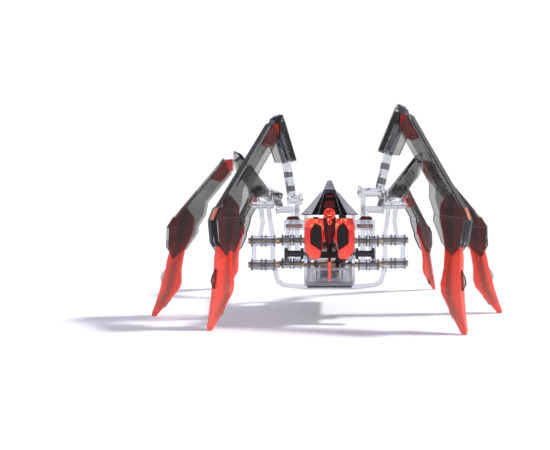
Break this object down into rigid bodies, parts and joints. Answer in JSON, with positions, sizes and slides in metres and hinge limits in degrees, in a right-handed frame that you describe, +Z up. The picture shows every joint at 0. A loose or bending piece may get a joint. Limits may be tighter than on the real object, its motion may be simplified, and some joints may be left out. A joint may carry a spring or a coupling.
{
  "type": "hexapod spider robot",
  "caption": "Palm-size toy spider robot: clear geared chassis, glowing red face, crank-driven legs with smoke shells and red feet.",
  "frame": {"origin": "middle of the bounding box in plan, on the surface that the feet stand on", "axes": "+X to the robot's left as seen from its front camera side (widest span of the feet), the head faces -Y, +Z up"},
  "size_m": [0.1442, 0.1214, 0.0841],
  "materials": {
    "black": "gloss",
    "board": "satin",
    "bronze": "turned",
    "cell": "satin",
    "clear": "clear gloss",
    "gear_black": "satin",
    "led": "clear gloss",
    "red_lens": "translucent gloss",
    "red_soft": "translucent satin",
    "smoke": "translucent gloss",
    "steel": "brushed"
  },
  "bodies": {
    "chassis": {"bumper": "clear", "circuit_board": "board", "contact_strip": "bronze", "eyes": "black", "face_lens": "red_lens", "front_cell": "cell", "gear_pins": "steel", "led": "led", "left_side_plate": "clear", "motor": "steel", "nose_ridge": "smoke", "power_switch": "black", "rear_cell": "cell", "right_side_plate": "clear", "roof": "smoke", "spacer_posts": "clear", "tray": "clear"},
    "lower_crank": {"lower_crankshaft": "bronze"},
    "upper_crank": {"upper_crankshaft": "bronze"},
    "idler": {"idler_gear": "gear_black"},
    "second": {"second_gear": "gear_black"},
    "first": {"first_gear": "gear_black"},
    "pinion": {"motor_pinion": "bronze"},
    "door": {"battery_door": "smoke"},
    "slider": {"switch_slider": "gear_black"},
    "left_front_leg": {"left_front_foot": "red_soft", "left_front_hip_link": "clear", "left_front_knee_cap": "red_lens", "left_front_knee_hood": "smoke", "left_front_shin_shell": "smoke"},
    "right_front_leg": {"right_front_foot": "red_soft", "right_front_hip_link": "clear", "right_front_knee_cap": "red_lens", "right_front_knee_hood": "smoke", "right_front_shin_shell": "smoke"},
    "left_middle_leg": {"left_middle_foot": "red_soft", "left_middle_hip_link": "clear", "left_middle_knee_cap": "red_lens", "left_middle_knee_hood": "smoke", "left_middle_shin_shell": "smoke"},
    "right_middle_leg": {"right_middle_foot": "red_soft", "right_middle_hip_link": "clear", "right_middle_knee_cap": "red_lens", "right_middle_knee_hood": "smoke", "right_middle_shin_shell": "smoke"},
    "left_rear_leg": {"left_rear_foot": "red_soft", "left_rear_hip_link": "clear", "left_rear_knee_cap": "red_lens", "left_rear_knee_hood": "smoke", "left_rear_shin_shell": "smoke"},
    "right_rear_leg": {"right_rear_foot": "red_soft", "right_rear_hip_link": "clear", "right_rear_knee_cap": "red_lens", "right_rear_knee_hood": "smoke", "right_rear_shin_shell": "smoke"}
  },
  "joints": [
    {"name": "drive", "type": "hinge", "parent": "chassis", "child": "lower_crank", "pos_m": [0, -0.0244, 0.021], "axis": [1, 0, 0], "continuous": true},
    {"name": "upper_crank_turn", "type": "hinge", "parent": "chassis", "child": "upper_crank", "pos_m": [0, -0.0244, 0.0306], "axis": [1, 0, 0], "continuous": true},
    {"name": "idler_turn", "type": "hinge", "parent": "chassis", "child": "idler", "pos_m": [0, -0.03271, 0.0258], "axis": [1, 0, 0], "continuous": true},
    {"name": "second_gear_turn", "type": "hinge", "parent": "chassis", "child": "second", "pos_m": [0, -0.01883, 0.0267], "axis": [1, 0, 0], "continuous": true},
    {"name": "first_gear_turn", "type": "hinge", "parent": "chassis", "child": "first", "pos_m": [0, -0.01126, 0.02736], "axis": [1, 0, 0], "continuous": true},
    {"name": "motor_turn", "type": "hinge", "parent": "chassis", "child": "pinion", "pos_m": [0, -0.00299, 0.0259], "axis": [1, 0, 0], "continuous": true},
    {"name": "left_front_leg_crank_pin", "type": "hinge", "parent": "lower_crank", "child": "left_front_leg", "pos_m": [-0.0133, -0.0211, 0.021], "axis": [1, 0, 0], "continuous": true},
    {"name": "right_front_leg_crank_pin", "type": "hinge", "parent": "lower_crank", "child": "right_front_leg", "pos_m": [0.0133, -0.0277, 0.021], "axis": [1, 0, 0], "continuous": true},
    {"name": "left_middle_leg_crank_pin", "type": "hinge", "parent": "lower_crank", "child": "left_middle_leg", "pos_m": [-0.0265, -0.0277, 0.021], "axis": [1, 0, 0], "continuous": true},
    {"name": "right_middle_leg_crank_pin", "type": "hinge", "parent": "lower_crank", "child": "right_middle_leg", "pos_m": [0.0265, -0.0211, 0.021], "axis": [1, 0, 0], "continuous": true},
    {"name": "left_rear_leg_crank_pin", "type": "hinge", "parent": "lower_crank", "child": "left_rear_leg", "pos_m": [-0.0177, -0.0211, 0.021], "axis": [1, 0, 0], "continuous": true},
    {"name": "right_rear_leg_crank_pin", "type": "hinge", "parent": "lower_crank", "child": "right_rear_leg", "pos_m": [0.0177, -0.0277, 0.021], "axis": [1, 0, 0], "continuous": true},
    {"name": "battery_door_slide", "type": "slide", "parent": "chassis", "child": "door", "axis": [0, 1, 0], "range_m": [0, 0.012]},
    {"name": "power_switch_slide", "type": "slide", "parent": "chassis", "child": "slider", "axis": [1, 0, 0], "range_m": [0, 0.0027]}
  ],
  "couplings": [
    {"joint": "upper_crank_turn", "follows": "drive", "ratio": 1},
    {"joint": "idler_turn", "follows": "drive", "ratio": -0.71429},
    {"joint": "second_gear_turn", "follows": "drive", "ratio": -1.4286},
    {"joint": "first_gear_turn", "follows": "drive", "ratio": 3.0952},
    {"joint": "motor_turn", "follows": "drive", "ratio": -7.7381},
    {"joint": "left_front_leg_crank_pin", "follows": "drive", "ratio": -1},
    {"joint": "right_front_leg_crank_pin", "follows": "drive", "ratio": -1},
    {"joint": "left_middle_leg_crank_pin", "follows": "drive", "ratio": -1},
    {"joint": "right_middle_leg_crank_pin", "follows": "drive", "ratio": -1},
    {"joint": "left_rear_leg_crank_pin", "follows": "drive", "ratio": -1},
    {"joint": "right_rear_leg_crank_pin", "follows": "drive", "ratio": -1}
  ]
}
